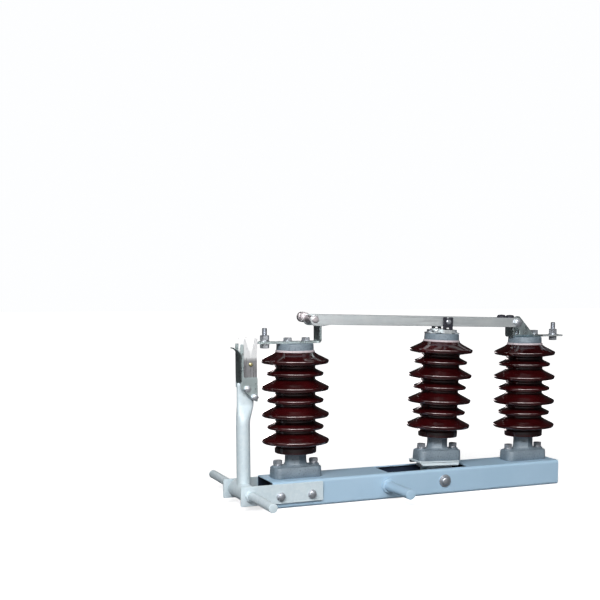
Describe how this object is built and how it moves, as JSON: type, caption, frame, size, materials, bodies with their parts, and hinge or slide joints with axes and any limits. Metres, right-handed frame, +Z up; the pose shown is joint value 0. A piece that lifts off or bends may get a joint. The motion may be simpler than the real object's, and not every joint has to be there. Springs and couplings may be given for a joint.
{
  "type": "single-pole outdoor disconnector with earthing blade",
  "caption": "Outdoor high voltage single-pole switch: porcelain posts on a steel base, a blade lifted by the middle post, and an earthing blade at one end.",
  "frame": {"origin": "centre of the base channel's underside", "axes": "+X along the base from the contact end towards the hinge end, -Y the front where the drive shaft leaves, +Z up"},
  "size_m": [0.865, 0.445, 0.4331],
  "materials": {
    "channel_paint": "satin pale blue-grey paint",
    "porcelain": "glossy dark brown glaze",
    "cast_fitting": "satin blue-grey paint on a casting",
    "zinc_bolt": "bright zinc plating",
    "tinned_copper": "dull tinned metal",
    "galvanised_steel": "galvanised",
    "dark_chrome": "dark bright-plated steel",
    "black_iron": "black paint",
    "zinc_plate": "dull bright zinc plating on flat steel",
    "spring_steel": "bare spring steel"
  },
  "bodies": {
    "base": {"base_channel": "channel_paint", "left_insulator": "porcelain", "right_insulator": "porcelain", "left_cap": "cast_fitting", "right_cap": "cast_fitting", "left_foot": "cast_fitting", "right_foot": "cast_fitting", "left_foot_bolts": "zinc_bolt", "right_foot_bolts": "zinc_bolt", "left_contact_bar": "zinc_plate", "left_contact_bolts": "zinc_bolt", "left_terminal_stud": "zinc_bolt", "hinge_bracket": "zinc_plate", "right_terminal_bar": "tinned_copper", "right_terminal_stud": "zinc_bolt", "hinge_bracket_bolts": "zinc_bolt", "hinge_pin": "zinc_bolt", "drive_shaft_bearings": "channel_paint", "stop_bolt": "zinc_bolt", "earth_front_bracket": "galvanised_steel", "earth_rear_bracket": "galvanised_steel", "earth_bracket_bolts": "zinc_bolt"},
    "drive": {"drive_shaft": "galvanised_steel", "lifting_cranks": "galvanised_steel", "crank_pin": "zinc_bolt"},
    "blade": {"blade_front_bar": "tinned_copper", "blade_rear_bar": "tinned_copper", "blade_spring_housing": "dark_chrome", "blade_tip_spacer": "dark_chrome", "blade_spacer_block": "tinned_copper", "blade_clamp_bolts": "black_iron"},
    "lifting_insulator": {"middle_insulator": "porcelain", "middle_cap": "cast_fitting", "middle_foot": "cast_fitting", "middle_foot_bolts": "zinc_bolt", "middle_lug_plate": "tinned_copper", "middle_lug_bolts": "zinc_bolt", "link_yoke": "black_iron", "link_pin": "zinc_bolt", "saddle_plate": "zinc_plate"},
    "earthing_blade": {"earth_shaft": "galvanised_steel", "earth_shaft_collars": "galvanised_steel", "earth_blade_tube": "galvanised_steel", "earth_fork_clip": "zinc_plate", "earth_fork_fingers": "spring_steel", "earth_fork_bolts": "zinc_bolt"}
  },
  "joints": [
    {"name": "drive", "type": "hinge", "parent": "base", "child": "drive", "pos_m": [-0.0947, 0, 0.032], "axis": [0, -1, 0], "range_deg": [0, 37.5]},
    {"name": "blade_hinge", "type": "hinge", "parent": "base", "child": "blade", "pos_m": [0.267, 0, 0.4048], "axis": [0, 1, 0], "range_deg": [0, 28]},
    {"name": "link_pivot", "type": "hinge", "parent": "blade", "child": "lifting_insulator", "pos_m": [0.0705, 0, 0.409], "axis": [0, -1, 0], "range_deg": [0, 22.4]},
    {"name": "earthing_blade", "type": "hinge", "parent": "base", "child": "earthing_blade", "pos_m": [-0.428, 0, 0.036], "axis": [0, 1, 0], "range_deg": [-90, 3.5]}
  ],
  "couplings": [
    {"joint": "blade_hinge", "follows": "drive", "ratio": 0.74667},
    {"joint": "link_pivot", "follows": "drive", "ratio": 0.59733}
  ]
}
